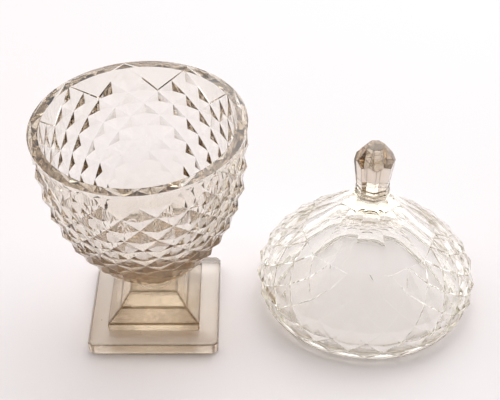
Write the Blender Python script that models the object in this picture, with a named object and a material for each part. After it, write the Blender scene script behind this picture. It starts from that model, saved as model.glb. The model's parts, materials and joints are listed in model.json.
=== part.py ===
"""Covered cut-glass urn: a diamond-cut bowl on a stepped square foot, and its cover standing beside it.

The origin is the centre of the foot's underside. The cover stands on its own ground rim on the same surface, and
its pieces hang from an empty on its axis. Everything is in metres, +Z up. The bowl and the cover have the outline
that the tips of their cut diamonds reach.
"""

import math

import bmesh
import bpy
from mathutils import Matrix, Vector
from mathutils.geometry import interpolate_bezier

# Gap left between pieces that the glassmaker joined hot, so that no two solids touch
JOIN_GAP = 0.0003

# Foot, from the table upwards. An inset is how far a slope or a step comes in on each side.
PLATE_WIDTH = 0.0798
PLATE_THICKNESS = 0.0080
PLATE_CORNER = 0.0028
PLATE_EDGE_BEVEL = 0.0004
PLATE_LEDGE = 0.0118
STEP_RISE = 0.0058
LOWER_SLOPE_INSET = 0.0077
LOWER_SLOPE_RISE = 0.0069
UPPER_STEP_INSET = 0.0023
UPPER_STEP_RISE = 0.0037
UPPER_SLOPE_INSET = 0.0038
UPPER_SLOPE_RISE = 0.0046

# Stem between the foot and the bowl
STEM_MARGIN = 0.0021
STEM_WAIST = 0.0016
STEM_HEIGHT = 0.0063

# Bowl. It was joined to its stem by hand and leans a little towards -X and towards -Y.
BOWL_LEAN_LEFT = math.radians(1.5)
BOWL_LEAN_FRONT = math.radians(1.5)
RIM_DIAMETER = 0.1230
RIM_WALL = 0.0061
BOWL_HEIGHT = 0.1114
BOWL_FLOOR = 0.0080
BOWL_SEAT_LIP = 0.0028
BOWL_FULLNESS = 2.90
HOLLOW_FULLNESS = 3.7

# Cover
LID_RIM_BAND = 0.0020
LID_OVERHANG = 0.0084
LID_BULGE_HEIGHT = 0.0135
LID_SHOULDER_INSET = 0.0244
LID_SHOULDER_HEIGHT = 0.0466
LID_SHOULDER_SLOPE = math.radians(42)
LID_NECK_SLOPE = math.radians(58)
LID_HEIGHT = 0.0803
LID_WALL = 0.0045
LID_CROWN_THICKNESS = 0.0120
LID_STAND_CLEARANCE = 0.0036
LID_BEARING = math.radians(8.05)

# Finial
FINIAL_SIDES = 8
NECK_DIAMETER = 0.0214
NECK_LIP = 0.0004
LOWER_COLLAR_HEIGHT = 0.0042
COLLAR_SETBACK = 0.0003
UPPER_COLLAR_HEIGHT = 0.0030
COLLAR_BEVEL = 0.0007
SHAFT_SETBACK = 0.0002
SHAFT_FLARE = 0.0023
SHAFT_HEIGHT = 0.0172
CROWN_HEIGHT = 0.0107
TABLE_DIAMETER = 0.0100

# Smoothness of the turned shapes
ROUND_SEGMENTS = 40
CURVE_STEPS = 12
WELD_DISTANCE = 1e-6

# Sizes and heights that follow from the ones above
PEDESTAL_WIDTH = PLATE_WIDTH - 2 * PLATE_LEDGE
PEDESTAL_TOP_WIDTH = PEDESTAL_WIDTH - 2 * (LOWER_SLOPE_INSET + UPPER_STEP_INSET + UPPER_SLOPE_INSET)
PEDESTAL_HEIGHT = STEP_RISE + LOWER_SLOPE_RISE + UPPER_STEP_RISE + UPPER_SLOPE_RISE
PEDESTAL_Z = PLATE_THICKNESS + JOIN_GAP
STEM_RADIUS = PEDESTAL_TOP_WIDTH / 2 - STEM_MARGIN
BOWL_LEAN = math.hypot(BOWL_LEAN_LEFT, BOWL_LEAN_FRONT)
STEM_Z = PEDESTAL_Z + PEDESTAL_HEIGHT + JOIN_GAP + STEM_RADIUS * math.sin(BOWL_LEAN)
RIM_RADIUS = RIM_DIAMETER / 2
BOWL_SEAT_RADIUS = STEM_RADIUS + BOWL_SEAT_LIP
BOWL_ABOVE_STEM_FOOT = STEM_HEIGHT + JOIN_GAP
LID_BULGE_RADIUS = RIM_RADIUS + LID_OVERHANG
LID_DISTANCE = RIM_RADIUS + LID_BULGE_RADIUS + LID_STAND_CLEARANCE
LOWER_COLLAR_Z = LID_HEIGHT + JOIN_GAP
UPPER_COLLAR_Z = LOWER_COLLAR_Z + LOWER_COLLAR_HEIGHT + JOIN_GAP
KNOB_Z = UPPER_COLLAR_Z + UPPER_COLLAR_HEIGHT + JOIN_GAP
NECK_RADIUS = NECK_DIAMETER / 2
UPPER_COLLAR_RADIUS = NECK_RADIUS - COLLAR_SETBACK
SHAFT_FOOT_RADIUS = UPPER_COLLAR_RADIUS - SHAFT_SETBACK


def clear_scene():
    for obj in list(bpy.data.objects):
        bpy.data.objects.remove(obj, do_unlink=True)


def glass(name, colour, roughness):
    """Glass of one tint, as a Principled surface that lets light through."""
    material = bpy.data.materials.new(name)
    material.use_nodes = True
    shader = material.node_tree.nodes["Principled BSDF"]
    shader.inputs["Base Color"].default_value = (*colour, 1.0)
    shader.inputs["Roughness"].default_value = roughness
    shader.inputs["Metallic"].default_value = 0.0
    shader.inputs["Transmission Weight"].default_value = 1.0
    shader.inputs["IOR"].default_value = 1.52
    return material


def finish(builder, name, material, height, parent=None):
    """Turns a bmesh into a named object that stands at a height on its parent's axis."""
    bmesh.ops.recalc_face_normals(builder, faces=builder.faces)
    mesh = bpy.data.meshes.new(name)
    builder.to_mesh(mesh)
    builder.free()
    mesh.materials.append(material)
    mesh.shade_smooth()
    mesh.set_sharp_from_angle(angle=math.radians(20))
    obj = bpy.data.objects.new(name, mesh)
    obj.location.z = height
    obj.parent = parent
    bpy.context.collection.objects.link(obj)
    return obj


def turned(profile):
    """Spins a profile of (radius, height) points that starts and ends on the axis."""
    builder = bmesh.new()
    points = [builder.verts.new((radius, 0.0, height)) for radius, height in profile]
    edges = [builder.edges.new(pair) for pair in zip(points, points[1:])]
    bmesh.ops.spin(
        builder,
        geom=points + edges,
        cent=(0.0, 0.0, 0.0),
        axis=(0.0, 0.0, 1.0),
        angle=math.tau,
        steps=ROUND_SEGMENTS,
        use_merge=True,
    )
    bmesh.ops.remove_doubles(builder, verts=builder.verts, dist=WELD_DISTANCE)
    return builder


def egg_outline(radius, reach, fullness, lowest, top):
    """Outline that narrows from its widest ring at the top as a power of the depth below it."""
    points = []
    for step in range(CURVE_STEPS + 1):
        depth = (top - lowest) * (1.0 - math.sin(math.pi / 2 * step / CURVE_STEPS))
        points.append((radius * (1.0 - (depth / reach) ** fullness), top - depth))
    return points


def make_base_plate(material):
    """Square plate with its four corners cut off and its edges just broken."""
    builder = bmesh.new()
    bmesh.ops.create_cube(builder, size=1.0)
    bmesh.ops.scale(builder, verts=builder.verts, vec=(PLATE_WIDTH, PLATE_WIDTH, PLATE_THICKNESS))
    bmesh.ops.translate(builder, verts=builder.verts, vec=(0.0, 0.0, PLATE_THICKNESS / 2))
    upright = [edge for edge in builder.edges if edge.verts[0].co.xy == edge.verts[1].co.xy]
    bevel(builder, upright, PLATE_CORNER)
    bevel(builder, builder.edges[:], PLATE_EDGE_BEVEL)
    return finish(builder, "base_plate", material, 0.0)


def bevel(builder, edges, width):
    """Flat chamfer of one width along some edges."""
    bmesh.ops.bevel(
        builder, geom=edges, offset=width, offset_type="OFFSET", segments=1, profile=0.5, affect="EDGES"
    )


def make_pedestal(material):
    """Stepped square pyramid: a step, a slope, a smaller step and a steeper slope."""
    stages = (
        (0.0, STEP_RISE),
        (LOWER_SLOPE_INSET, LOWER_SLOPE_RISE),
        (UPPER_STEP_INSET, UPPER_STEP_RISE),
        (UPPER_SLOPE_INSET, UPPER_SLOPE_RISE),
    )
    builder = bmesh.new()
    width = PEDESTAL_WIDTH
    bmesh.ops.create_grid(builder, x_segments=1, y_segments=1, size=width / 2)
    underside = builder.faces[:]
    top = underside
    for inset, rise in stages:
        raised = bmesh.ops.extrude_face_region(builder, geom=top)["geom"]
        if top != underside:
            bmesh.ops.delete(builder, geom=top, context="FACES_ONLY")
        corners = [item for item in raised if isinstance(item, bmesh.types.BMVert)]
        top = [item for item in raised if isinstance(item, bmesh.types.BMFace)]
        share = (width - 2 * inset) / width
        bmesh.ops.scale(builder, verts=corners, vec=(share, share, 1.0))
        bmesh.ops.translate(builder, verts=corners, vec=(0.0, 0.0, rise))
        width *= share
    return finish(builder, "pedestal", material, PEDESTAL_Z)


def make_stem(material, axis):
    """Short round neck with a slight waist, its ends as wide as each other."""
    profile = [(0.0, 0.0)]
    for step in range(CURVE_STEPS + 1):
        share = step / CURVE_STEPS
        waist = STEM_WAIST * math.sin(math.pi * share)
        profile.append((STEM_RADIUS - waist, STEM_HEIGHT * share))
    profile.append((0.0, STEM_HEIGHT))
    return finish(turned(profile), "stem", material, 0.0, axis)


def make_bowl(material, axis):
    """Ovoid bowl with a small flat seat, a flat ground rim and a smooth hollow."""
    reach = BOWL_HEIGHT / (1.0 - BOWL_SEAT_RADIUS / RIM_RADIUS) ** (1.0 / BOWL_FULLNESS)
    outside = egg_outline(RIM_RADIUS, reach, BOWL_FULLNESS, 0.0, BOWL_HEIGHT)
    depth = BOWL_HEIGHT - BOWL_FLOOR
    inside = egg_outline(RIM_RADIUS - RIM_WALL, depth, HOLLOW_FULLNESS, BOWL_FLOOR, BOWL_HEIGHT)
    profile = [(0.0, 0.0)] + outside + inside[::-1]
    return finish(turned(profile), "bowl", material, BOWL_ABOVE_STEM_FOOT, axis)


def lid_outline():
    """Outside of the cover, from its rim band over the bulge and the shoulder to the neck, an ogee."""
    band = Vector((RIM_RADIUS, LID_RIM_BAND, 0.0))
    bulge = Vector((LID_BULGE_RADIUS, LID_BULGE_HEIGHT, 0.0))
    shoulder = Vector((LID_BULGE_RADIUS - LID_SHOULDER_INSET, LID_SHOULDER_HEIGHT, 0.0))
    neck = Vector((NECK_RADIUS + NECK_LIP, LID_HEIGHT, 0.0))
    slope = Vector((-math.cos(LID_SHOULDER_SLOPE), math.sin(LID_SHOULDER_SLOPE), 0.0))
    neck_slope = Vector((-math.cos(LID_NECK_SLOPE), math.sin(LID_NECK_SLOPE), 0.0))
    upwards = Vector((0.0, 1.0, 0.0))
    outwards = Vector((1.0, 0.0, 0.0))
    to_bulge = LID_BULGE_HEIGHT - LID_RIM_BAND
    to_shoulder = (shoulder - bulge).length
    to_neck = (neck - shoulder).length
    spans = (
        (band, band + outwards * LID_OVERHANG * 0.6, bulge - upwards * to_bulge * 0.5, bulge),
        (bulge, bulge + upwards * to_shoulder * 0.3, shoulder - slope * to_shoulder * 0.35, shoulder),
        (shoulder, shoulder + slope * to_neck * 0.35, neck - neck_slope * to_neck * 0.3, neck),
    )
    points = [Vector((RIM_RADIUS, 0.0, 0.0)), band]
    for start, start_handle, end_handle, end in spans:
        points += interpolate_bezier(start, start_handle, end_handle, end, CURVE_STEPS)[1:]
    return points


def inset_outline(points, wall):
    """The outline moved inwards by the wall, square to its own direction at each point."""
    moved = []
    for index, point in enumerate(points):
        along = points[min(index + 1, len(points) - 1)] - points[max(index - 1, 0)]
        along.normalize()
        moved.append(point + wall * Vector((-along.y, along.x, 0.0)))
    return moved


def make_lid_dome(material, axis):
    """Thin blown cover, open below, closed under the finial by a thicker crown."""
    outside = lid_outline()
    ceiling = LID_HEIGHT - LID_CROWN_THICKNESS
    foot = Vector((RIM_RADIUS - LID_WALL, 0.0, 0.0))
    inside = [foot] + [
        point for point in inset_outline(outside[1:], LID_WALL) if LID_RIM_BAND < point.y < ceiling
    ]
    inside.append(Vector((inside[-1].x, ceiling, 0.0)))
    profile = [(0.0, LID_HEIGHT)]
    profile += [(point.x, point.y) for point in reversed(outside)]
    profile += [(point.x, point.y) for point in inside]
    profile.append((0.0, ceiling))
    return finish(turned(profile), "lid_dome", material, 0.0, axis)


def prism(foot_radius, top_radius, height):
    """Upright solid with the finial's number of sides, standing on z = 0 with a corner towards -Y."""
    builder = bmesh.new()
    bmesh.ops.create_cone(
        builder,
        cap_ends=True,
        segments=FINIAL_SIDES,
        radius1=foot_radius,
        radius2=top_radius,
        depth=height,
    )
    bmesh.ops.translate(builder, verts=builder.verts, vec=(0.0, 0.0, height / 2))
    return builder


def make_collar(name, radius, collar_height, material, height, axis):
    """Thin many-sided ring with bevelled edges above and below."""
    builder = prism(radius, radius, collar_height)
    level = [edge for edge in builder.edges if edge.verts[0].co.z == edge.verts[1].co.z]
    bevel(builder, level, COLLAR_BEVEL)
    return finish(builder, name, material, height, axis)


def make_knob(material, axis):
    """Shaft that widens upwards, its top ground to a crown with one facet over each corner of the shaft."""
    girdle = SHAFT_FOOT_RADIUS + SHAFT_FLARE
    height = SHAFT_HEIGHT + CROWN_HEIGHT
    builder = prism(SHAFT_FOOT_RADIUS, SHAFT_FOOT_RADIUS + SHAFT_FLARE * height / SHAFT_HEIGHT, height)
    outward = Vector((0.0, 1.0, 0.0))
    corner = Vector((0.0, girdle, SHAFT_HEIGHT))
    facet = Vector((0.0, TABLE_DIAMETER / 2, height)) - corner
    normal = facet.cross(outward).cross(facet)
    for side in range(FINIAL_SIDES):
        turn = Matrix.Rotation(math.tau * side / FINIAL_SIDES, 3, "Z")
        cut = bmesh.ops.bisect_plane(
            builder,
            geom=builder.verts[:] + builder.edges[:] + builder.faces[:],
            plane_co=turn @ corner,
            plane_no=turn @ normal,
            clear_outer=True,
        )
        rim = [item for item in cut["geom_cut"] if isinstance(item, bmesh.types.BMEdge)]
        bmesh.ops.edgeloop_fill(builder, edges=rim)
    bmesh.ops.remove_doubles(builder, verts=builder.verts, dist=WELD_DISTANCE)
    return finish(builder, "knob", material, KNOB_Z, axis)


def make_axis(name, location, lean_left, lean_front):
    """Empty that holds the pieces on one axis, leaning towards -X and towards -Y by two angles."""
    axis = bpy.data.objects.new(name, None)
    axis.location = location
    axis.rotation_euler = (lean_front, -lean_left, 0.0)
    bpy.context.collection.objects.link(axis)
    return axis


def main():
    clear_scene()
    foot_glass = glass("moulded foot glass", (0.71, 0.60, 0.47), 0.08)
    bowl_glass = glass("cut bowl glass", (0.62, 0.54, 0.42), 0.03)
    lid_glass = glass("thin lid glass", (0.90, 0.88, 0.82), 0.03)
    knob_glass = glass("cut finial glass", (0.72, 0.62, 0.48), 0.03)
    make_base_plate(foot_glass)
    make_pedestal(foot_glass)
    bowl_axis = make_axis("bowl_axis", (0.0, 0.0, STEM_Z), BOWL_LEAN_LEFT, BOWL_LEAN_FRONT)
    make_stem(foot_glass, bowl_axis)
    make_bowl(bowl_glass, bowl_axis)
    beside = (LID_DISTANCE * math.cos(LID_BEARING), LID_DISTANCE * math.sin(LID_BEARING), 0.0)
    lid_axis = make_axis("lid_axis", beside, 0.0, 0.0)
    make_lid_dome(lid_glass, lid_axis)
    make_collar("lower_collar", NECK_RADIUS, LOWER_COLLAR_HEIGHT, knob_glass, LOWER_COLLAR_Z, lid_axis)
    make_collar("upper_collar", UPPER_COLLAR_RADIUS, UPPER_COLLAR_HEIGHT, knob_glass, UPPER_COLLAR_Z, lid_axis)
    make_knob(knob_glass, lid_axis)


main()
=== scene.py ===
"""Looks of a covered cut-glass urn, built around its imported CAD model.

The file is laid out as an add-on: an operator for each group of pieces, one for the studio, and a panel that
lists them. Run as a script it calls them all in order. Lengths are in metres.
"""

import json
import math
import random

import bmesh
import bpy
from mathutils import Matrix, Vector
from mathutils.geometry import interpolate_bezier


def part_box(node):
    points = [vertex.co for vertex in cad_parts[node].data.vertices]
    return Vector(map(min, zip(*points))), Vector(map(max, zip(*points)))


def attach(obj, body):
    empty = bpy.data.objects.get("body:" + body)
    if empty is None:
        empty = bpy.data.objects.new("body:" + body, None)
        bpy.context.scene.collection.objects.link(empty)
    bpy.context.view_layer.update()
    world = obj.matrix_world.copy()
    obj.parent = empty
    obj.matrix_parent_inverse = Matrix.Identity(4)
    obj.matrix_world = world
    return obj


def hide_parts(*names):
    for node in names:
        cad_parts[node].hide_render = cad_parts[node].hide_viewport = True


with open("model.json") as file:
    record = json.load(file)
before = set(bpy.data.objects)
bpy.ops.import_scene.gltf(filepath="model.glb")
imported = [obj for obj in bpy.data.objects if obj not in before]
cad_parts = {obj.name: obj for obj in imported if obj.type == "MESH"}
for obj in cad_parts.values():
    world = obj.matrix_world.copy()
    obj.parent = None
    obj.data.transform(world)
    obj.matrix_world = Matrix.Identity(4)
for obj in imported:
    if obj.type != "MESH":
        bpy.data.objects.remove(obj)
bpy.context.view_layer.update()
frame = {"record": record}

bl_info = {
    "name": "Covered Cut-Glass Urn",
    "version": (1, 0, 0),
    "blender": (4, 5, 0),
    "location": "3D View > Sidebar > Urn",
    "description": "Builds a diamond-cut glass urn and its cover, piece by piece, around a packed CAD model",
    "category": "Add Mesh",
}

UP = Vector((0.0, 0.0, 1.0))

# Vertices closer than this are one vertex, and heights closer than this are one height
WELD = 1e-6

# Fused joints: how far a piece reaches into its neighbour, so that the two read as one glass
FUSE = 0.00003

# Bowl, as its solid in the CAD model
RIM_RADIUS = 0.0615
HOLLOW_RADIUS = 0.0554
BOWL_HEIGHT = 0.1114
BOWL_FLOOR = 0.0080
SEAT_RADIUS = 0.0150
BOWL_FULLNESS = 2.90
HOLLOW_FULLNESS = 3.7
BOWL_REACH = BOWL_HEIGHT / (1.0 - SEAT_RADIUS / RIM_RADIUS) ** (1.0 / BOWL_FULLNESS)
STEM_RADIUS = 0.0122
STEM_HEIGHT = 0.0063
JOIN_GAP = 0.0003

# Cover, as its solid in the CAD model
LID_RIM_BAND = 0.0020
LID_BULGE_RADIUS = 0.0699
LID_BULGE_HEIGHT = 0.0135
LID_SHOULDER_RADIUS = 0.0455
LID_SHOULDER_HEIGHT = 0.0466
LID_HEIGHT = 0.0803
LID_NECK_RADIUS = 0.0111
LID_WALL = 0.0045
LID_CEILING = 0.0683
SHOULDER_SLOPE = math.radians(42)
NECK_SLOPE = math.radians(58)

# Cover, where its hollow leaves the wall and closes as a round ceiling
LID_SPRINGING = 0.0590

# Cutting: edges sharper than these angles stay crisp, or get a polished flat
FACET_ANGLE = math.radians(7)
CUT_EDGE_ANGLE = math.radians(8)
PRISM_EDGE_ANGLE = math.radians(12)
BLOCK_EDGE_ANGLE = math.radians(20)
ROUND_ANGLE = math.radians(40)

# Parts that each straight edge is split into where the cutting meets a round rim
RIM_PARTS = 6

# Smallest and largest radius of a bubble in the glass
SEED_SIZES = (0.0001, 0.0003)


def node_box(node):
    """Lowest and highest corner of a CAD node at rest."""
    low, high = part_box(node)
    return Vector(low), Vector(high)


def mount_axis(name):
    """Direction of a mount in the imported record."""
    for mount in frame["record"]["mounts"]:
        if mount["name"] == name:
            return Vector(mount["axis"])
    raise RuntimeError(f"the packed record has no mount {name}")


BOWL_AXIS = mount_axis("bowl_rim")
BOWL_LEAN = BOWL_AXIS.angle(UP)
BOWL_TURN = UP.rotation_difference(BOWL_AXIS).to_matrix().to_4x4()
STEM_Z = node_box("stem")[0].z + STEM_RADIUS * math.sin(BOWL_LEAN)
BOWL_PLACE = Matrix.Translation((0.0, 0.0, STEM_Z)) @ BOWL_TURN
BOWL_SEAT = STEM_HEIGHT + JOIN_GAP
BOWL_TOP = BOWL_SEAT + BOWL_HEIGHT
HOLLOW_DEPTH = BOWL_HEIGHT - BOWL_FLOOR
LID_AXIS = sum(node_box("knob"), Vector()) / 2
LID_PLACE = Matrix.Translation((LID_AXIS.x, LID_AXIS.y, 0.0))


# ---------------------------------------------------------------- shared modelling steps


def verts_of(items):
    """The vertices among an operator's results."""
    return [item for item in items if isinstance(item, bmesh.types.BMVert)]


def edges_of(items):
    """The edges among an operator's results."""
    return [item for item in items if isinstance(item, bmesh.types.BMEdge)]


def open_edges(builder, without=()):
    """The edges at the openings of a shell, but for the given ones."""
    return [edge for edge in builder.edges if edge.is_boundary and edge not in without]


def turned_loops(builder, loop, rings):
    """Extrudes an open loop of edges through rings of (radius, height) about the Z axis."""
    for radius, height in rings:
        raised = bmesh.ops.extrude_edge_only(builder, edges=loop)["geom"]
        for vert in verts_of(raised):
            flat = vert.co.xy.normalized() * radius
            vert.co = (flat.x, flat.y, height)
        loop = edges_of(raised)
    return loop


def close_on_axis(builder, loop, height):
    """Closes a loop by pulling one more ring of it together on the Z axis."""
    raised = bmesh.ops.extrude_edge_only(builder, edges=loop)["geom"]
    bmesh.ops.pointmerge(builder, verts=verts_of(raised), merge_co=(0.0, 0.0, height))


def chamfer(builder, edges, width, steps=1, clamp=False):
    """Bevels edges and returns the new faces."""
    return bmesh.ops.bevel(
        builder,
        geom=edges,
        offset=width,
        offset_type="OFFSET",
        segments=steps,
        profile=0.5,
        affect="EDGES",
        clamp_overlap=clamp,
        material=-1,
    )["faces"]


def soften(builder, width, steps, least_angle):
    """Rounds every edge that is sharper than an angle; only the roundings are shaded smooth."""
    edges = [
        edge
        for edge in builder.edges
        if len(edge.link_faces) == 2 and edge.calc_face_angle(0.0) > least_angle
    ]
    for face in chamfer(builder, edges, width, steps, clamp=True):
        face.smooth = True


def blow_seed(builder, centre, radius):
    """Leaves a tiny bubble in the glass: a ball whose faces look inwards, at its hollow."""
    ball = bmesh.ops.create_icosphere(builder, subdivisions=2, radius=radius)["verts"]
    bmesh.ops.translate(builder, verts=ball, vec=centre)
    faces = list(dict.fromkeys(face for vert in ball for face in vert.link_faces))
    for face in faces:
        face.smooth = True
    bmesh.ops.reverse_faces(builder, faces=faces)


def finish_piece(builder, name, place, node, body, material, smooth_angle=None, seeds=()):
    """Turns a bmesh into a piece at its place, with its finish, riding on its body.

    With an angle, everything flatter than it is shaded smooth; without one the faces keep their own shading.
    Seeds are (centre, radius) of the bubbles in the glass, before the piece is moved to its place.
    """
    bmesh.ops.remove_doubles(builder, verts=builder.verts, dist=WELD / 10)
    bmesh.ops.recalc_face_normals(builder, faces=builder.faces)
    for centre, radius in seeds:
        blow_seed(builder, centre, radius)
    bmesh.ops.transform(builder, matrix=place, verts=builder.verts)
    mesh = bpy.data.meshes.new(name)
    builder.to_mesh(mesh)
    builder.free()
    if smooth_angle:
        mesh.shade_smooth()
        mesh.set_sharp_from_angle(angle=smooth_angle)
    mesh.materials.append(material)
    piece = bpy.data.objects.new(name, mesh)
    bpy.context.collection.objects.link(piece)
    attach(piece, body)
    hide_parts(node)
    return piece


# ---------------------------------------------------------------- cut lattice of diamonds


def lattice_of_diamonds(builder, outline, sides):
    """Shell of diamonds over a turned outline of (radius, height) rows.

    Each quad between two rows is poked and its old edges go, which leaves diamonds that stand on a corner.
    """
    points = [builder.verts.new((radius, 0.0, height)) for radius, height in outline]
    edges = [builder.edges.new(pair) for pair in zip(points, points[1:])]
    bmesh.ops.spin(
        builder,
        geom=points + edges,
        cent=(0.0, 0.0, 0.0),
        axis=(0.0, 0.0, 1.0),
        angle=math.tau,
        steps=sides,
        use_merge=True,
    )
    bmesh.ops.remove_doubles(builder, verts=builder.verts, dist=WELD)
    old = [edge for edge in builder.edges if len(edge.link_faces) == 2]
    bmesh.ops.poke(builder, faces=builder.faces[:])
    bmesh.ops.dissolve_edges(builder, edges=old)


def settle(verts, radius_at, sink):
    """Moves vertices out to the envelope at their height, less a share of that radius."""
    for vert in verts:
        radius = radius_at(vert.co.z) * (1.0 - sink)
        flat = vert.co.xy.normalized() * radius
        vert.co = (flat.x, flat.y, vert.co.z)


def top_crossings(builder, top, sides):
    """Every second crossing of the topmost row."""
    pitch = math.tau / sides
    row = [vert for vert in builder.verts if vert.co.z > top - WELD]
    return [vert for vert in row if round(math.atan2(vert.co.y, vert.co.x) / pitch) % 2 == 0]


def merge_around(builder, crowns):
    """Merges the faces around each crown vertex into one plain face, and returns those faces."""
    seams = dict.fromkeys(edge for vert in crowns for edge in vert.link_edges if len(edge.link_faces) == 2)
    bmesh.ops.dissolve_edges(builder, edges=list(seams))
    return [vert.link_faces[0] for vert in crowns]


def wobble(builder, amount):
    """Moves the crossings and tips by a hair, as a hand at the cutting wheel does."""
    rng = random.Random(11)
    for vert in builder.verts:
        shift = Vector((rng.uniform(-1, 1), rng.uniform(-1, 1), rng.uniform(-1, 1))) * amount
        if not vert.is_boundary:
            vert.co += shift


def wall_seeds(count, radius_at, heights, offset):
    """Places for bubbles in a turned wall, at an offset from the surface whose radius is given."""
    rng = random.Random(5)
    seeds = []
    for _ in range(count):
        height = rng.uniform(*heights)
        turn = rng.uniform(0.0, math.tau)
        reach = radius_at(height) + offset
        centre = (reach * math.cos(turn), reach * math.sin(turn), height)
        seeds.append((centre, rng.uniform(*SEED_SIZES)))
    return seeds


def block_seeds(count, low, high):
    """Places for bubbles within a box."""
    rng = random.Random(8)
    seeds = []
    for _ in range(count):
        centre = tuple(rng.uniform(a, b) for a, b in zip(low, high))
        seeds.append((centre, rng.uniform(*SEED_SIZES)))
    return seeds


# ---------------------------------------------------------------- bowl


def bowl_radius(height):
    """Radius that the tips of the bowl's diamonds reach, at a height above the stem's foot."""
    depth = max(BOWL_TOP - height, 0.0)
    return RIM_RADIUS * (1.0 - (depth / BOWL_REACH) ** BOWL_FULLNESS)


def hollow_radius(height):
    """Radius of the bowl's hollow at a height above the stem's foot."""
    return HOLLOW_RADIUS * (1.0 - ((BOWL_TOP - height) / HOLLOW_DEPTH) ** HOLLOW_FULLNESS)


def groove_rows(slope, sides, rim_band):
    """Heights where the two families of grooves cross, from the rim down to the seat."""
    probe = 0.0001
    lowest = BOWL_SEAT + 0.0008
    rows = [BOWL_TOP - rim_band]
    while True:
        height = rows[-1]
        radius = bowl_radius(height)
        lean = (radius - bowl_radius(height - probe)) / probe
        step = slope * radius * math.pi / sides / math.hypot(1.0, lean)
        if height - step < lowest:
            break
        rows.append(height - step)
    if len(rows) % 2 == 0:
        rows.pop()
    return rows


def build_bowl(cutting, material):
    """Bowl with relief diamonds below plain shields, a flat ground rim and a smooth hollow."""
    builder = bmesh.new()
    sides = cutting.diamonds_around
    rows = groove_rows(cutting.groove_slope, sides, cutting.rim_band)
    sink = cutting.cut_depth / RIM_RADIUS
    lattice_of_diamonds(builder, [(bowl_radius(height), height) for height in rows[::2]], sides)
    settle(builder.verts, bowl_radius, sink)
    shields = merge_around(builder, top_crossings(builder, rows[0], sides))
    diamonds = [face for face in builder.faces if len(face.verts) == 4 and face not in shields]
    peaks = bmesh.ops.poke(builder, faces=diamonds)["verts"]
    settle(peaks, bowl_radius, 0.0)
    wobble(builder, cutting.hand_wobble)
    for shield in shields:
        raise_shield(builder, shield, cutting.groove_wall, sink * cutting.shield_sink)
    rim_loop = [edge for edge in open_edges(builder) if edge.verts[0].co.z > rows[0] - WELD]
    foot_loop = open_edges(builder, without=rim_loop)
    close_rim(builder, rim_loop)
    seat = turned_loops(builder, foot_loop, [(SEAT_RADIUS * 0.96, BOWL_SEAT)])
    close_on_axis(builder, seat, BOWL_SEAT)
    soften(builder, cutting.edge_radius, 1, CUT_EDGE_ANGLE)
    return finish_piece(
        builder,
        "cut_bowl",
        BOWL_PLACE @ Matrix.Rotation(cutting.phase, 4, "Z"),
        "bowl",
        "urn",
        material,
        smooth_angle=FACET_ANGLE,
        seeds=wall_seeds(cutting.seeds, hollow_radius, heights=(0.035, 0.110), offset=0.0018),
    )


def close_rim(builder, rim_loop):
    """Rounds the cut edge out to the true rim, and carries it over as a flat ring and into the hollow."""
    cut = bmesh.ops.subdivide_edges(builder, edges=rim_loop, cuts=RIM_PARTS - 1)["geom_split"]
    rim_loop = [edge for edge in edges_of(cut) if edge.is_boundary]
    settle({vert for edge in rim_loop for vert in edge.verts}, bowl_radius, 0.006)
    rings = [(RIM_RADIUS, BOWL_TOP)]
    steps = 28
    for step in range(steps):
        fallen = HOLLOW_DEPTH * math.sin(math.pi / 2 * step / steps)
        rings.append((hollow_radius(BOWL_TOP - fallen), BOWL_TOP - fallen))
    loop = turned_loops(builder, rim_loop, rings)
    close_on_axis(builder, loop, BOWL_TOP - HOLLOW_DEPTH)


def raise_shield(builder, shield, wall, sink):
    """Raises a plain shield out of the grooves around it, and rounds it to the bowl."""
    bmesh.ops.inset_region(
        builder, faces=[shield], thickness=wall, depth=0.0, use_boundary=False, use_even_offset=True
    )
    pieces = bmesh.ops.triangulate(builder, faces=[shield])["faces"]
    edges = list(dict.fromkeys(edge for face in pieces for edge in face.edges))
    cut = bmesh.ops.subdivide_edges(builder, edges=edges, cuts=4, use_grid_fill=True)
    corners = {vert for face in pieces for vert in face.verts}
    settle(corners.union(verts_of(cut["geom_inner"])), bowl_radius, sink)


# ---------------------------------------------------------------- cover


def cover_outline():
    """Outside of the cover as points (radius, height) from its rim band up to the neck."""
    band = Vector((RIM_RADIUS, LID_RIM_BAND, 0.0))
    bulge = Vector((LID_BULGE_RADIUS, LID_BULGE_HEIGHT, 0.0))
    shoulder = Vector((LID_SHOULDER_RADIUS, LID_SHOULDER_HEIGHT, 0.0))
    neck = Vector((LID_NECK_RADIUS, LID_HEIGHT, 0.0))
    slope = Vector((-math.cos(SHOULDER_SLOPE), math.sin(SHOULDER_SLOPE), 0.0))
    neck_slope = Vector((-math.cos(NECK_SLOPE), math.sin(NECK_SLOPE), 0.0))
    to_bulge = LID_BULGE_HEIGHT - LID_RIM_BAND
    to_shoulder = (shoulder - bulge).length
    to_neck = (neck - shoulder).length
    upwards = Vector((0.0, 1.0, 0.0))
    overhang = LID_BULGE_RADIUS - RIM_RADIUS
    spans = (
        (band, band + Vector((overhang * 0.6, 0.0, 0.0)), bulge - upwards * to_bulge * 0.5, bulge),
        (bulge, bulge + upwards * to_shoulder * 0.3, shoulder - slope * to_shoulder * 0.35, shoulder),
        (shoulder, shoulder + slope * to_neck * 0.35, neck - neck_slope * to_neck * 0.3, neck),
    )
    points = [Vector((RIM_RADIUS, 0.0, 0.0)), band]
    for start, start_handle, end_handle, end in spans:
        points += interpolate_bezier(start, start_handle, end_handle, end, 24)[1:]
    return [(point.x, point.y) for point in points]


COVER_OUTLINE = cover_outline()


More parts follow.
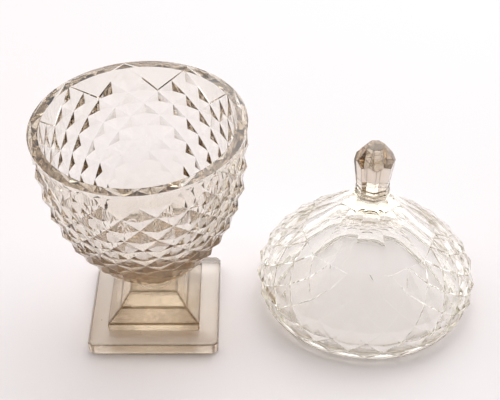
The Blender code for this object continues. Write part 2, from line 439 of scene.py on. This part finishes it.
def cover_radius(height):
    """Radius of the cover's outside at a height above its rim."""
    for (low_radius, low), (high_radius, high) in zip(COVER_OUTLINE, COVER_OUTLINE[1:]):
        if low <= height <= high and high > low:
            return low_radius + (high_radius - low_radius) * (height - low) / (high - low)
    return COVER_OUTLINE[-1][0] if height > COVER_OUTLINE[-1][1] else COVER_OUTLINE[0][0]


def build_cover(cutting, material):
    """Cover with flat neck panels over star crossings, relief diamonds, scallops and a plain rim band."""
    builder = bmesh.new()
    sides = cutting.diamonds_around
    rows = cutting.star_height, cutting.tip_height, cutting.waist_height, cutting.scallop_height
    sink = cutting.cut_depth / LID_BULGE_RADIUS
    lattice_of_diamonds(builder, [(cover_radius(height), height) for height in rows], sides)
    settle(builder.verts, cover_radius, sink)
    flatten_panels(top_crossings(builder, rows[0], sides), sink, sides)
    wobble(builder, cutting.hand_wobble)
    cut_facets(builder, cutting.mitre_width)
    lowest = min(vert.co.z for vert in builder.verts)
    foot_loop = [edge for edge in open_edges(builder) if edge.verts[0].co.z < lowest + 10 * WELD]
    neck_loop = open_edges(builder, without=foot_loop)
    neck = panel_loops(builder, neck_loop, neck_rings(rows[0], sink), sides)
    close_on_axis(builder, neck, LID_HEIGHT)
    close_foot(builder, foot_loop)
    return finish_piece(
        builder,
        "cut_cover",
        LID_PLACE @ Matrix.Rotation(cutting.phase, 4, "Z"),
        "lid_dome",
        "lid",
        material,
        smooth_angle=FACET_ANGLE,
        seeds=wall_seeds(cutting.seeds, cover_radius, heights=(0.008, 0.030), offset=-0.0031),
    )


def cut_facets(builder, mitre_width):
    """Runs a fine mitre groove between all facets, and raises each diamond to its tip."""
    facets = builder.faces[:]
    half = mitre_width / 2
    bmesh.ops.inset_individual(builder, faces=facets, thickness=half, depth=half, use_even_offset=True)
    diamonds = [face for face in facets if len(face.verts) == 4]
    peaks = bmesh.ops.poke(builder, faces=diamonds)["verts"]
    settle(peaks, cover_radius, 0.0)


def neck_rings(start, sink):
    """Rings (radius, height) of the neck panels, that come out of the cutting as they rise."""
    steps = 10
    rings = []
    for step in range(1, steps + 1):
        height = start + (LID_HEIGHT - start) * step / steps
        rings.append((cover_radius(height) * (1.0 - sink * (1.0 - step / steps)), height))
    return rings


def close_foot(builder, foot_loop):
    """Carries the scalloped edge down over the plain band, round the ground rim and up the hollow."""
    bmesh.ops.subdivide_edges(builder, edges=foot_loop, cuts=RIM_PARTS - 1)
    foot_loop = open_edges(builder)
    settle({vert for edge in foot_loop for vert in edge.verts}, cover_radius, 0.0)
    band = [(cover_radius(height), height) for height in (0.0034, 0.0026, LID_RIM_BAND + 0.0001)]
    band += [(RIM_RADIUS, LID_RIM_BAND - 0.0001), (RIM_RADIUS, 0.0), (RIM_RADIUS - LID_WALL, 0.0)]
    loop = turned_loops(builder, foot_loop, band + cover_hollow())
    close_on_axis(builder, loop, LID_CEILING)


def panel_loops(builder, loop, rings, sides):
    """Extrudes a loop through rings, with every second corner drawn in so that the panels are flat."""
    pitch = math.tau / sides
    for radius, height in rings:
        raised = bmesh.ops.extrude_edge_only(builder, edges=loop)["geom"]
        for vert in verts_of(raised):
            count = round(math.atan2(vert.co.y, vert.co.x) / pitch)
            reach = radius * (math.cos(pitch) if count % 2 == 0 else 1.0)
            vert.co = (reach * math.cos(count * pitch), reach * math.sin(count * pitch), height)
        loop = edges_of(raised)
    return loop


def flatten_panels(crowns, sink, sides):
    """Draws the middle of each panel's lower end in to the chord between its corners."""
    chord = math.cos(math.tau / sides)
    for vert in crowns:
        reach = cover_radius(vert.co.z) * (1.0 - sink) * chord
        flat = vert.co.xy.normalized() * reach
        vert.co = (flat.x, flat.y, vert.co.z)


def cover_hollow():
    """Inside of the cover as rings (radius, height), a wall's thickness inside its outline."""
    rings = []
    points = [Vector(point) for point in COVER_OUTLINE[1:]]
    for index in range(1, len(points) - 1, 2):
        along = (points[index + 1] - points[index - 1]).normalized()
        inside = points[index] + Vector((-along.y, along.x)) * LID_WALL
        if LID_RIM_BAND < inside.y < LID_SPRINGING:
            rings.append((inside.x, inside.y))
    steps = 14
    springing_radius, springing = rings[-1]
    slope = (springing - rings[-2][1]) / (rings[-2][0] - springing_radius)
    rise = LID_CEILING - springing
    fullness = slope * springing_radius / rise
    for step in range(1, steps):
        share = 1.0 - step / steps
        rings.append((springing_radius * share, LID_CEILING - rise * share**fullness))
    return rings


# ---------------------------------------------------------------- foot


def build_plate(shape, material):
    """Square plate with cut corners."""
    low, high = node_box("base_plate")
    builder = bmesh.new()
    bmesh.ops.create_cube(builder, size=1.0)
    bmesh.ops.scale(builder, verts=builder.verts, vec=high - low)
    bmesh.ops.translate(builder, verts=builder.verts, vec=(low + high) / 2)
    upright = [edge for edge in builder.edges if edge.verts[0].co.xy == edge.verts[1].co.xy]
    chamfer(builder, upright, shape.plate_corner)
    soften(builder, shape.edge_radius, 3, BLOCK_EDGE_ANGLE)
    seeds = block_seeds(shape.seeds, low=(-0.035, -0.035, 0.002), high=(0.035, 0.035, 0.0065))
    return finish_piece(
        builder, "foot_plate", Matrix(), "base_plate", "urn", material, seeds=seeds
    )


def build_pedestal(shape, material):
    """Stepped square pedestal, raised stage by stage from its underside."""
    low, high = node_box("pedestal")
    builder = bmesh.new()
    width = high.x - low.x
    bmesh.ops.create_grid(builder, x_segments=1, y_segments=1, size=width / 2)
    bmesh.ops.translate(builder, verts=builder.verts, vec=(0.0, 0.0, low.z - JOIN_GAP - FUSE))
    underside = builder.faces[:]
    top = underside
    stages = (
        (0.0, shape.step_rise + JOIN_GAP + FUSE),
        (shape.lower_slope_inset, shape.lower_slope_rise),
        (shape.upper_step_inset, shape.upper_step_rise),
        (shape.upper_slope_inset, shape.upper_slope_rise),
    )
    for inset, rise in stages:
        raised = bmesh.ops.extrude_face_region(builder, geom=top)["geom"]
        if top != underside:
            bmesh.ops.delete(builder, geom=top, context="FACES_ONLY")
        corners = verts_of(raised)
        top = [item for item in raised if isinstance(item, bmesh.types.BMFace)]
        share = (width - 2 * inset) / width
        bmesh.ops.scale(builder, verts=corners, vec=(share, share, 1.0))
        bmesh.ops.translate(builder, verts=corners, vec=(0.0, 0.0, rise))
        width *= share
    bmesh.ops.recalc_face_normals(builder, faces=builder.faces)
    soften(builder, shape.edge_radius, 3, PRISM_EDGE_ANGLE)
    seeds = block_seeds(shape.seeds, low=(-0.019, -0.019, 0.010), high=(0.019, 0.019, 0.018))
    return finish_piece(
        builder, "stepped_pedestal", Matrix(), "pedestal", "urn", material, seeds=seeds
    )


def build_stem(shape, material):
    """Short waisted neck, run a little way into the pedestal and the bowl that it was fused to."""
    builder = bmesh.new()
    bmesh.ops.create_circle(builder, cap_ends=False, radius=STEM_RADIUS, segments=64)
    sunk = 2 * STEM_RADIUS * math.sin(BOWL_LEAN) + JOIN_GAP
    height = BOWL_SEAT + FUSE
    bmesh.ops.translate(builder, verts=builder.verts, vec=(0.0, 0.0, -sunk))
    steps = 12
    shares = [step / steps for step in range(steps + 1)]
    rings = [
        (STEM_RADIUS - shape.stem_waist * math.sin(math.pi * share), height * share) for share in shares
    ]
    top = turned_loops(builder, builder.edges[:], rings)
    close_on_axis(builder, top, height)
    close_on_axis(builder, open_edges(builder), -sunk)
    return finish_piece(
        builder, "fused_stem", BOWL_PLACE, "stem", "urn", material, smooth_angle=ROUND_ANGLE
    )


# ---------------------------------------------------------------- finial


def prism(sides, foot_radius, top_radius, low, high):
    """Upright many-sided solid between two heights, with a corner on the Y axis."""
    builder = bmesh.new()
    bmesh.ops.create_cone(
        builder, cap_ends=True, segments=sides, radius1=foot_radius, radius2=top_radius, depth=high - low
    )
    bmesh.ops.translate(builder, verts=builder.verts, vec=(0.0, 0.0, (low + high) / 2))
    return builder


def build_collar(name, node, shape, material):
    """Thin many-sided ring with bevelled edges."""
    low, high = node_box(node)
    radius = (high.x - low.x) / 2
    builder = prism(shape.sides, radius, radius, low.z - JOIN_GAP - FUSE, high.z)
    level = [edge for edge in builder.edges if abs(edge.verts[0].co.z - edge.verts[1].co.z) < WELD]
    chamfer(builder, level, shape.collar_bevel)
    soften(builder, shape.edge_radius, 1, PRISM_EDGE_ANGLE)
    return finish_piece(builder, name, LID_PLACE, node, "lid", material)


def build_knob(shape, material):
    """Many-sided shaft that widens upwards, cut off by a ring of slanting facets round a flat top."""
    low, high = node_box("knob")
    girdle_height = low.z + shape.shaft_height
    foot = shape.shaft_foot_radius
    girdle = foot + shape.shaft_flare
    top = foot + shape.shaft_flare * (high.z - low.z) / shape.shaft_height
    builder = prism(shape.sides, foot, top, low.z - JOIN_GAP - FUSE, high.z)
    corner = Vector((0.0, girdle, girdle_height))
    facet = Vector((0.0, shape.table_radius, high.z)) - corner
    normal = facet.cross(Vector((0.0, 1.0, 0.0))).cross(facet)
    for side in range(shape.sides):
        turn = Matrix.Rotation(math.tau * side / shape.sides, 3, "Z")
        cut = bmesh.ops.bisect_plane(
            builder,
            geom=builder.verts[:] + builder.edges[:] + builder.faces[:],
            plane_co=turn @ corner,
            plane_no=turn @ normal,
            clear_outer=True,
        )
        bmesh.ops.edgeloop_fill(builder, edges=edges_of(cut["geom_cut"]))
    bmesh.ops.remove_doubles(builder, verts=builder.verts, dist=WELD)
    bmesh.ops.recalc_face_normals(builder, faces=builder.faces)
    soften(builder, shape.edge_radius, 1, PRISM_EDGE_ANGLE)
    return finish_piece(builder, "faceted_knob", LID_PLACE, "knob", "lid", material)


# ---------------------------------------------------------------- materials

# Soda-lime glass, and the roughness of its unpolished undersides, which were ground flat on a wheel
GLASS_IOR = 1.52
GROUND_ROUGHNESS = 0.75

# Size of the patches where handling has dulled the polish
WEAR_PATCH = 0.0025


def linear(code):
    """Linear colour of an sRGB hex code."""
    channels = [int(code[place : place + 2], 16) / 255 for place in (1, 3, 5)]
    return tuple(c / 12.92 if c <= 0.04045 else ((c + 0.055) / 1.055) ** 2.4 for c in channels)


def add(tree, kind, settings=None, links=None):
    """Adds a node with its settings, and links sockets of other nodes to its inputs."""
    node = tree.nodes.new(kind)
    for name, value in (settings or {}).items():
        if name in node.inputs.keys():
            node.inputs[name].default_value = value
        else:
            setattr(node, name, value)
    for name, socket in (links or {}).items():
        tree.links.new(socket, node.inputs[name])
    return node


def glass(name, tint, depth_of_tint, polish, rub, wave_length, wave_height):
    """Clear glass with a tint that deepens with thickness.

    The polish is the roughness of its cleanest skin, and the rub what handling adds to it in patches.
    The waves are the slow swell that hot glass or the polishing wheel leaves.
    """
    material = bpy.data.materials.new(name)
    material.use_nodes = True
    tree = material.node_tree
    tree.nodes.clear()
    place = add(tree, "ShaderNodeTexCoord").outputs["Object"]
    waves = add(
        tree,
        "ShaderNodeTexNoise",
        {"Scale": 1.0 / wave_length, "Detail": 1.0, "Roughness": 0.4},
        {"Vector": place},
    )
    bump = add(
        tree, "ShaderNodeBump", {"Strength": 1.0, "Distance": wave_height}, {"Height": waves.outputs["Fac"]}
    )
    wear = add(
        tree,
        "ShaderNodeTexNoise",
        {"Scale": 1.0 / WEAR_PATCH, "Detail": 4.0, "Roughness": 0.6},
        {"Vector": place},
    )
    rubbed = add(
        tree,
        "ShaderNodeMapRange",
        {"From Min": 0.45, "From Max": 0.75, "To Min": polish, "To Max": polish + rub},
        {"Value": wear.outputs["Fac"]},
    )
    height = add(tree, "ShaderNodeSeparateXYZ", {}, {"Vector": place}).outputs["Z"]
    ground = add(
        tree,
        "ShaderNodeMapRange",
        {"From Min": 0.0001, "From Max": 0.0004, "To Min": GROUND_ROUGHNESS, "To Max": 0.0},
        {"Value": height},
    )
    rough = add(
        tree,
        "ShaderNodeMath",
        {"operation": "MAXIMUM"},
        {0: rubbed.outputs["Result"], 1: ground.outputs["Result"]},
    )
    surface = add(
        tree,
        "ShaderNodeBsdfPrincipled",
        {"Base Color": (1.0, 1.0, 1.0, 1.0), "IOR": GLASS_IOR, "Transmission Weight": 1.0},
        {"Roughness": rough.outputs["Value"], "Normal": bump.outputs["Normal"]},
    )
    body = add(
        tree, "ShaderNodeVolumeAbsorption", {"Color": (*linear(tint), 1.0), "Density": depth_of_tint}
    )
    add(
        tree,
        "ShaderNodeOutputMaterial",
        {},
        {"Surface": surface.outputs["BSDF"], "Volume": body.outputs["Volume"]},
    )
    return material


# ---------------------------------------------------------------- studio


# Floor, a hair below the glass so that the two never share a surface
FLOOR_REACH = 3.0
FLOOR_Z = -0.0002

# Softbox, behind and above on the right
SOFTBOX_SIZE = (1.2, 0.8)
SOFTBOX_PLACE = (0.45, 0.9, 1.1)
SOFTBOX_AIM = (0.06, 0.0, 0.05)

# Camera, looking down along Y
LENS = 81.36
CAMERA_PLACE = (0.05935, -0.51285, 0.51746)
LOOK_DOWN = math.radians(39.8)

# Colour sockets of a Mix node that mixes colours
FIRST_COLOUR, SECOND_COLOUR, MIXED_COLOUR = 6, 7, 2


def build_floor(colour):
    """Wide sheet of pale paper."""
    builder = bmesh.new()
    bmesh.ops.create_grid(builder, x_segments=1, y_segments=1, size=FLOOR_REACH)
    bmesh.ops.translate(builder, verts=builder.verts, vec=(0.0, 0.0, FLOOR_Z))
    mesh = bpy.data.meshes.new("studio_floor")
    builder.to_mesh(mesh)
    builder.free()
    floor = bpy.data.objects.new("studio_floor", mesh)
    bpy.context.collection.objects.link(floor)
    material = bpy.data.materials.new("pale paper")
    material.use_nodes = True
    shader = material.node_tree.nodes["Principled BSDF"]
    shader.inputs["Base Color"].default_value = (*linear(colour), 1.0)
    shader.inputs["Roughness"].default_value = 0.85
    mesh.materials.append(material)


def build_world(studio):
    """White tent all round, with a dim opening at the front that the cut facets mirror as dark flashes."""
    world = bpy.data.worlds.new("studio tent")
    world.use_nodes = True
    tree = world.node_tree
    tree.nodes.clear()
    way = add(tree, "ShaderNodeTexCoord").outputs["Generated"]
    parts = add(tree, "ShaderNodeSeparateXYZ", {}, {"Vector": way})
    front = add(
        tree,
        "ShaderNodeMapRange",
        {"interpolation_type": "SMOOTHSTEP", "From Min": 0.0, "From Max": -0.35},
        {"Value": parts.outputs["Y"]},
    )
    colour = add(tree, "ShaderNodeMix", {"data_type": "RGBA"}, {"Factor": front.outputs["Result"]})
    colour.inputs[FIRST_COLOUR].default_value = (*linear(studio.tent_colour), 1.0)
    colour.inputs[SECOND_COLOUR].default_value = (*linear(studio.dim_colour), 1.0)
    light = add(
        tree,
        "ShaderNodeBackground",
        {"Strength": studio.tent_strength},
        {"Color": colour.outputs[MIXED_COLOUR]},
    )
    add(tree, "ShaderNodeOutputWorld", {}, {"Surface": light.outputs["Background"]})
    bpy.context.scene.world = world


def build_softbox(power):
    """Large soft light that brightens the floor behind the glass."""
    lamp = bpy.data.lights.new("back softbox", "AREA")
    lamp.shape = "RECTANGLE"
    lamp.size, lamp.size_y = SOFTBOX_SIZE
    lamp.energy = power
    softbox = bpy.data.objects.new("back_softbox", lamp)
    softbox.location = SOFTBOX_PLACE
    aim = Vector(SOFTBOX_AIM) - softbox.location
    softbox.rotation_euler = aim.to_track_quat("-Z", "Y").to_euler()
    bpy.context.collection.objects.link(softbox)


def build_camera():
    """Camera that looks down on the urn and its cover."""
    lens = bpy.data.cameras.new("camera")
    lens.lens = LENS
    camera = bpy.data.objects.new("camera", lens)
    camera.location = CAMERA_PLACE
    camera.rotation_euler = (math.pi / 2 - LOOK_DOWN, 0.0, 0.0)
    bpy.context.collection.objects.link(camera)
    bpy.context.scene.camera = camera


def set_light_paths(scene):
    """Lets light pass through many layers of glass, and shows the tent's white as plain white."""
    scene.view_settings.view_transform = "Standard"
    scene.cycles.max_bounces = 24
    scene.cycles.transmission_bounces = 24
    scene.cycles.glossy_bounces = 12
    scene.cycles.blur_glossy = 0.0


# ---------------------------------------------------------------- settings a user can change


class UrnFootShape(bpy.types.PropertyGroup):
    """Sizes of the press-moulded foot."""

    plate_corner: bpy.props.FloatProperty(
        name="Plate Corner", description="Width of the plate's cut corners", default=0.0028, unit="LENGTH"
    )
    edge_radius: bpy.props.FloatProperty(
        name="Edge Radius", description="Rounding of the moulded edges", default=0.0009, unit="LENGTH"
    )
    step_rise: bpy.props.FloatProperty(
        name="Step Rise", description="Height of the lowest step", default=0.0058, unit="LENGTH"
    )
    lower_slope_inset: bpy.props.FloatProperty(
        name="Lower Slope Inset",
        description="How far the lower slope comes in",
        default=0.0077,
        unit="LENGTH",
    )
    lower_slope_rise: bpy.props.FloatProperty(
        name="Lower Slope Rise", description="Height of the lower slope", default=0.0069, unit="LENGTH"
    )
    upper_step_inset: bpy.props.FloatProperty(
        name="Upper Step Inset",
        description="How far the upper step comes in",
        default=0.0023,
        unit="LENGTH",
    )
    upper_step_rise: bpy.props.FloatProperty(
        name="Upper Step Rise", description="Height of the upper step", default=0.0037, unit="LENGTH"
    )
    upper_slope_inset: bpy.props.FloatProperty(
        name="Upper Slope Inset",
        description="How far the upper slope comes in",
        default=0.0038,
        unit="LENGTH",
    )
    upper_slope_rise: bpy.props.FloatProperty(
        name="Upper Slope Rise", description="Height of the upper slope", default=0.0046, unit="LENGTH"
    )
    seeds: bpy.props.IntProperty(name="Seeds", description="Tiny bubbles in each block", default=14, min=0)
    stem_waist: bpy.props.FloatProperty(
        name="Stem Waist", description="Depth of the stem's waist", default=0.0016, unit="LENGTH"
    )


class UrnBowlCutting(bpy.types.PropertyGroup):
    """The diamonds and shields of the bowl."""

    diamonds_around: bpy.props.IntProperty(
        name="Diamonds Around", description="Number of diamonds in one row", default=20, min=8, step=2
    )
    groove_slope: bpy.props.FloatProperty(
        name="Groove Slope", description="Rise of a groove for each length along the bowl", default=0.90
    )
    cut_depth: bpy.props.FloatProperty(
        name="Cut Depth", description="Depth of the grooves at the rim", default=0.0021, unit="LENGTH"
    )
    rim_band: bpy.props.FloatProperty(
        name="Rim Band",
        description="Height of the plain band over the cutting",
        default=0.0016,
        unit="LENGTH",
    )
    edge_radius: bpy.props.FloatProperty(
        name="Edge Radius",
        description="Polished flats along ridges and grooves",
        default=0.00018,
        unit="LENGTH",
    )
    seeds: bpy.props.IntProperty(name="Seeds", description="Tiny bubbles in the wall", default=40, min=0)
    groove_wall: bpy.props.FloatProperty(
        name="Groove Wall", description="Width of the groove beside a shield", default=0.0006, unit="LENGTH"
    )
    shield_sink: bpy.props.FloatProperty(
        name="Shield Sink",
        description="Share of the cut depth that a shield lies below the tips",
        default=0.3,
    )
    hand_wobble: bpy.props.FloatProperty(
        name="Hand Wobble", description="How far a crossing strays", default=0.00034, unit="LENGTH"
    )
    phase: bpy.props.FloatProperty(
        name="Phase",
        description="Turn of the pattern on the bowl",
        default=math.radians(-60.0),
        unit="ROTATION",
    )


class UrnCoverCutting(bpy.types.PropertyGroup):
    """The panels, diamonds and scallops of the cover."""

    diamonds_around: bpy.props.IntProperty(
        name="Diamonds Around", description="Number of diamonds in one row", default=20, min=8, step=2
    )
    star_height: bpy.props.FloatProperty(
        name="Star Height", description="Where the panels' edges end", default=0.0490, unit="LENGTH"
    )
    tip_height: bpy.props.FloatProperty(
        name="Tip Height", description="Where the panels come to a point", default=0.0330, unit="LENGTH"
    )
    waist_height: bpy.props.FloatProperty(
        name="Waist Height", description="Row of crossings over the bulge", default=0.0175, unit="LENGTH"
    )
    scallop_height: bpy.props.FloatProperty(
        name="Scallop Height", description="Where the lowest diamonds end", default=0.0045, unit="LENGTH"
    )
    cut_depth: bpy.props.FloatProperty(
        name="Cut Depth", description="Depth of the grooves at the bulge", default=0.0020, unit="LENGTH"
    )
    seeds: bpy.props.IntProperty(name="Seeds", description="Tiny bubbles in the wall", default=20, min=0)
    mitre_width: bpy.props.FloatProperty(
        name="Mitre Width",
        description="Width of the fine grooves between facets",
        default=0.0008,
        unit="LENGTH",
    )
    hand_wobble: bpy.props.FloatProperty(
        name="Hand Wobble", description="How far a crossing strays", default=0.0004, unit="LENGTH"
    )
    phase: bpy.props.FloatProperty(
        name="Phase",
        description="Turn of the pattern on the cover",
        default=math.radians(-94.0),
        unit="ROTATION",
    )


class UrnFinialShape(bpy.types.PropertyGroup):
    """Sizes of the collars and the knob."""

    sides: bpy.props.IntProperty(name="Sides", description="Number of flat sides", default=8, min=3)
    collar_bevel: bpy.props.FloatProperty(
        name="Collar Bevel", description="Bevel of a collar's edges", default=0.0007, unit="LENGTH"
    )
    edge_radius: bpy.props.FloatProperty(
        name="Edge Radius", description="Rounding of the polished edges", default=0.00012, unit="LENGTH"
    )
    shaft_foot_radius: bpy.props.FloatProperty(
        name="Shaft Foot Radius", description="Shaft's radius at its foot", default=0.0102, unit="LENGTH"
    )
    shaft_flare: bpy.props.FloatProperty(
        name="Shaft Flare", description="How much the shaft widens", default=0.0023, unit="LENGTH"
    )
    shaft_height: bpy.props.FloatProperty(
        name="Shaft Height", description="Height up to the crown", default=0.0172, unit="LENGTH"
    )
    table_radius: bpy.props.FloatProperty(
        name="Table Radius", description="Radius of the flat top", default=0.0050, unit="LENGTH"
    )


class UrnStudio(bpy.types.PropertyGroup):
    """Floor and light."""

    tent_strength: bpy.props.FloatProperty(
        name="Tent Strength",
        description="Light of the tent",
        default=1.66,
    )
    softbox_power: bpy.props.FloatProperty(
        name="Softbox Power", description="Light of the softbox", default=6.0, unit="POWER"
    )
    tent_colour: bpy.props.StringProperty(name="Tent Colour", description="sRGB hex", default="#FFFFFF")
    dim_colour: bpy.props.StringProperty(name="Dim Colour", description="sRGB hex", default="#0E0A06")
    floor_colour: bpy.props.StringProperty(name="Floor Colour", description="sRGB hex", default="#E8E2E3")


# ---------------------------------------------------------------- operators


class URN_OT_foot(bpy.types.Operator):
    """Build the plate, the pedestal and the stem"""

    bl_idname = "urn.foot"
    bl_label = "Foot"

    def execute(self, context):
        shape = context.scene.urn_foot
        # The mould leaves a soft skin, so the blocks look quiet and milky beside the polished cutting
        material = glass(
            "straw soda glass, press-moulded",
            tint="#D6BA7E",
            depth_of_tint=19.0,
            polish=0.10,
            rub=0.08,
            wave_length=0.009,
            wave_height=0.00006,
        )
        build_plate(shape, material)
        build_pedestal(shape, material)
        build_stem(shape, material)
        return {"FINISHED"}


class URN_OT_bowl(bpy.types.Operator):
    """Build the diamond-cut bowl"""

    bl_idname = "urn.bowl"
    bl_label = "Bowl"

    def execute(self, context):
        # Every facet was polished again after cutting: each one mirrors sharply, light or dark
        material = glass(
            "straw soda glass, wheel-cut and polished",
            tint="#C9B07A",
            depth_of_tint=34.0,
            polish=0.0,
            rub=0.02,
            wave_length=0.005,
            wave_height=0.00002,
        )
        build_bowl(context.scene.urn_bowl, material)
        return {"FINISHED"}


class URN_OT_cover(bpy.types.Operator):
    """Build the cut cover"""

    bl_idname = "urn.cover"
    bl_label = "Cover"

    def execute(self, context):
        # Blown thin, it keeps a slow swell and hardly any colour: the floor shows through almost clean
        material = glass(
            "pale soda glass, blown thin and cut",
            tint="#D6CBA8",
            depth_of_tint=28.0,
            polish=0.0,
            rub=0.02,
            wave_length=0.007,
            wave_height=0.00003,
        )
        build_cover(context.scene.urn_cover, material)
        return {"FINISHED"}


class URN_OT_finial(bpy.types.Operator):
    """Build the two collars and the knob"""

    bl_idname = "urn.finial"
    bl_label = "Finial"

    def execute(self, context):
        shape = context.scene.urn_finial
        # Cut from the solid, its facets turn brown where light goes the long way through
        material = glass(
            "straw soda glass, cut solid",
            tint="#C4A468",
            depth_of_tint=30.0,
            polish=0.0,
            rub=0.02,
            wave_length=0.006,
            wave_height=0.00002,
        )
        build_collar("neck_collar", "lower_collar", shape, material)
        build_collar("shaft_collar", "upper_collar", shape, material)
        build_knob(shape, material)
        return {"FINISHED"}


class URN_OT_stage(bpy.types.Operator):
    """Set up the floor, the light and the camera"""

    bl_idname = "urn.stage"
    bl_label = "Studio"

    def execute(self, context):
        studio = context.scene.urn_studio
        build_floor(studio.floor_colour)
        build_world(studio)
        build_softbox(studio.softbox_power)
        build_camera()
        set_light_paths(context.scene)
        return {"FINISHED"}


class URN_PT_pieces(bpy.types.Panel):
    """Lists the urn's pieces"""

    bl_idname = "URN_PT_pieces"
    bl_label = "Cut-Glass Urn"
    bl_space_type = "VIEW_3D"
    bl_region_type = "UI"
    bl_category = "Urn"

    def draw(self, context):
        for step in STEPS:
            self.layout.operator(step.bl_idname)


SETTINGS = {
    "urn_foot": UrnFootShape,
    "urn_bowl": UrnBowlCutting,
    "urn_cover": UrnCoverCutting,
    "urn_finial": UrnFinialShape,
    "urn_studio": UrnStudio,
}
STEPS = (URN_OT_stage, URN_OT_foot, URN_OT_bowl, URN_OT_cover, URN_OT_finial)


def register():
    for kind in (*SETTINGS.values(), *STEPS, URN_PT_pieces):
        bpy.utils.register_class(kind)
    for name, kind in SETTINGS.items():
        setattr(bpy.types.Scene, name, bpy.props.PointerProperty(type=kind))


def unregister():
    for name in SETTINGS:
        delattr(bpy.types.Scene, name)
    for kind in reversed((*SETTINGS.values(), *STEPS, URN_PT_pieces)):
        bpy.utils.unregister_class(kind)


def main():
    register()
    bpy.ops.urn.stage()
    bpy.ops.urn.foot()
    bpy.ops.urn.bowl()
    bpy.ops.urn.cover()
    bpy.ops.urn.finial()


if __name__ == "__main__":
    main()
